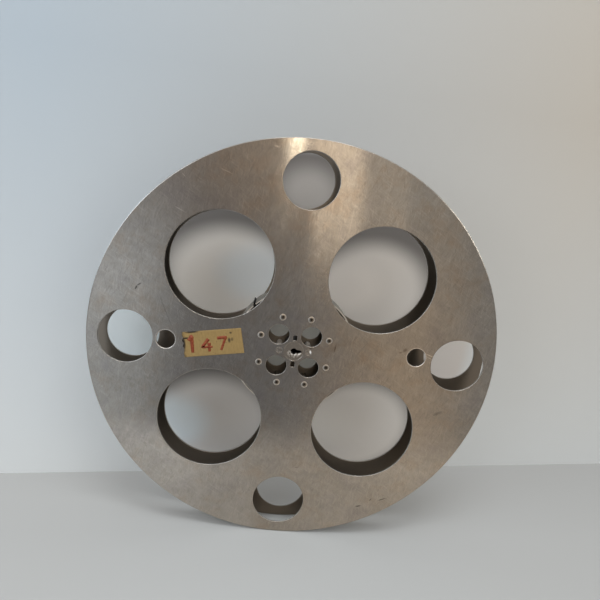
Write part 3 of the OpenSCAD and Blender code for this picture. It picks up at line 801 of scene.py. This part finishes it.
# Behind the reel the board carries a painted shade, deeper than such broad lamps draw it, with painted
# patches of light where light falls through the holes. Each patch has its middle, radius, strength and
# colour. Only the camera sees this painted shade, so the rear flange mirrors the plain board.
flat = add(tree, "VectorMath", {"Vector": place, "Vector_001": (1, 0, 1)}, operation="MULTIPLY")
squeezed = add(tree, "VectorMath", {
    "Vector": flat, "Vector_001": (lit_stretch, 0, 1)}, operation="MULTIPLY")
painted_shade_and_light = linear("#827f7d")
for x, z, radius, strength, code in light_patches:
    patch = add(tree, "MapRange", {
        "Value": add(tree, "VectorMath", {
            "Vector": squeezed, "Vector_001": (x * lit_stretch * mm, 0, z * mm)},
            out="Value", operation="DISTANCE"),
        "From Min": radius * mm + lit_outside, "From Max": radius * mm - lit_inside,
        "To Max": strength}, interpolation_type="SMOOTHSTEP")
    painted_shade_and_light = add(tree, "Mix", {
        "Factor_Float": patch, "A_Color": painted_shade_and_light, "B_Color": linear(code)}, out=2, data_type="RGBA")
shadow = add(tree, "MapRange", {
    "Value": add(tree, "VectorMath", {
        "Vector": flat, "Vector_001": shadow_middle}, out="Value", operation="DISTANCE"),
    "From Min": shadow_radius + shadow_fade, "From Max": shadow_radius - shadow_fade},
    interpolation_type="SMOOTHSTEP")
board_colour = add(tree, "Mix", {
    "Factor_Float": add(tree, "Math", {
        "Value": shadow, "Value_001": camera_ray}, operation="MULTIPLY"),
    "A_Color": board_colour, "B_Color": painted_shade_and_light}, out=2, data_type="RGBA")
# The painted shade is deepest behind the hub.
shade = add(tree, "MapRange", {
    "Value": add(tree, "VectorMath", {
        "Vector": place, "Vector_001": shade_middle}, out="Value", operation="DISTANCE"),
    "From Min": shade_reach, "From Max": shade_core}, interpolation_type="SMOOTHSTEP")
board_colour = add(tree, "Mix", {
    "Factor_Float": shade, "A_Color": board_colour, "B_Color": linear("#aeada7")},
    out=2, data_type="RGBA")
add(tree, "OutputMaterial", {"Surface": add(tree, "MixShader", {
    "Fac": shown, "Shader": add(tree, "BsdfTransparent"),
    "Shader_001": add(tree, "BsdfDiffuse", {"Color": board_colour})})})
along = (board_right - board_left).normalized()
forwards = Vector((along.y, -along.x)) * board_lean
left_end = board_left - along * board_reach
right_end = board_right + along * board_reach
corners = []
for end, z in (
        (left_end, floor_z), (right_end, floor_z), (right_end, board_top), (left_end, board_top)):
    corners.append((*(end + forwards * (z - floor_z)), z))
stage_sheet("backdrop", corners, board_paint)

# Light: a broad pale ceiling with a strip in it, a cool window and strip on the left, a weaker warm
# window and a narrow strip for the rim on the right, and warm boxes and a small lamp behind the
# camera. The room round them is cool on the left and warm on the right.
box_roll = math.radians(6.4)


def soft_box(name, place, aim, width, height, colour, radiance, roll=0.0, spread=math.pi):
    """A flat lamp at a place, turned to face its aim. Its power follows from its size and radiance."""
    data = bpy.data.lights.new(name, "AREA")
    data.shape = "RECTANGLE"
    data.size = width
    data.size_y = height
    data.color = linear(colour)[:3]
    data.energy = radiance * math.pi * width * height
    data.spread = spread
    lamp = bpy.data.objects.new(name, data)
    lamp.location = place
    towards = (Vector(aim) - Vector(place)).to_track_quat("-Z", "Y")
    lamp.rotation_euler = (towards @ Euler((0, 0, roll)).to_quaternion()).to_euler()
    lamp.visible_camera = False
    bpy.context.scene.collection.objects.link(lamp)


soft_box("ceiling", (0, -1.1, 2.2), (0, -1.09, -0.3), 5.0, 4.0, "#fefefe", 0.7)
soft_box("ceiling_strip", (0.1, -0.9, 2.15), (0.1, 0, 0), 1.4, 0.5, "#fefefe", 6.0)
soft_box("left_window", (-1.7, -1.7, 0.9), (0, 0, 0), 1.4, 1.6, "#f2f8ff", 2.4)
soft_box("left_strip", (-1.6, -0.55, 0.8), (0, 0, 0), 0.35, 1.4, "#f2f8ff", 1.8)
soft_box("right_window", (1.8, -1.7, 0.9), (0, 0, 0), 1.2, 1.4, "#fff4e4", 1.1)
soft_box("right_strip", (1.4, 0.3, 0.75), (0.23, -0.02, 0.19), 0.12, 0.9, "#fff4e4", 0.19,
         spread=math.radians(40))
soft_box("warm_box", (0.219, -2.0, 0.43), (0.219, 0, 0.43), 0.26, 0.94, "#ffe6c6", 0.76, box_roll)
soft_box("warm_box_side", (0.479, -2.0, 0.42), (0.479, 0, 0.42), 0.26, 0.96, "#ffe6c6", 0.14, box_roll)
soft_box("top_lamp", (-0.002, -2.0, 0.58), (-0.002, 0, 0.58), 0.07, 0.2, "#ffecd0", 8.0, box_roll)

world = bpy.data.worlds.new("room")
world.use_nodes = True
tree = world.node_tree
tree.nodes.clear()
direction = add(tree, "TexCoord", out="Generated")
sideways = add(tree, "SeparateXYZ", {"Vector": direction}, out="X")
upwards = add(tree, "SeparateXYZ", {"Vector": direction}, out="Z")
# Straight ahead the room is dark below and warm above, a little deeper to the left.
above = add(tree, "Mix", {
    "Factor_Float": add(tree, "MapRange", {
        "Value": sideways, "From Min": -0.06, "From Max": -0.2}, interpolation_type="SMOOTHSTEP"),
    "A_Color": linear("#a79685"), "B_Color": linear("#8c8178")}, out=2, data_type="RGBA")
room = add(tree, "Mix", {
    "Factor_Float": add(tree, "MapRange", {
        "Value": upwards, "From Min": -0.2, "From Max": 0.1}, interpolation_type="SMOOTHSTEP"),
    "A_Color": linear("#72706f"), "B_Color": above}, out=2, data_type="RGBA")
# To the left, low down, lies the pale side of the window.
cool = add(tree, "Math", {
    "Value": add(tree, "MapRange", {
        "Value": sideways, "From Min": -0.12, "From Max": -0.31}, interpolation_type="SMOOTHSTEP"),
    "Value_001": add(tree, "MapRange", {
        "Value": upwards, "From Min": 0.0, "From Max": -0.13, "To Min": 0.1})}, operation="MULTIPLY")
window_side = add(tree, "Mix", {
    "Factor_Float": add(tree, "MapRange", {"Value": upwards, "From Min": -0.5, "From Max": -0.2}),
    "A_Color": linear("#999b9b"), "B_Color": linear("#c6c8c9")}, out=2, data_type="RGBA")
room = add(tree, "Mix", {
    "Factor_Float": cool, "A_Color": room, "B_Color": window_side}, out=2, data_type="RGBA")
# To the right the room is warm, then greyer, and far out on both sides it is dark.
warm = add(tree, "Mix", {
    "Factor_Float": add(tree, "MapRange", {"Value": upwards, "From Min": -0.2, "From Max": 0.0}),
    "A_Color": linear("#ad9b87"), "B_Color": linear("#a29b92")}, out=2, data_type="RGBA")
off_middle = add(tree, "Math", {"Value": sideways}, operation="ABSOLUTE")
for way, start, end, tint in (
        (sideways, 0.02, 0.26, warm), (sideways, 0.28, 0.42, linear("#8e8983")),
        (off_middle, 0.45, 0.7, linear("#5c5957"))):
    room = add(tree, "Mix", {
        "Factor_Float": add(tree, "MapRange", {
            "Value": way, "From Min": start, "From Max": end}, interpolation_type="SMOOTHSTEP"),
        "A_Color": room, "B_Color": tint}, out=2, data_type="RGBA")
add(tree, "OutputWorld", {"Surface": add(tree, "Background", {"Color": room, "Strength": 1.0})})
bpy.context.scene.world = world
bpy.context.scene.view_settings.view_transform = "Standard"
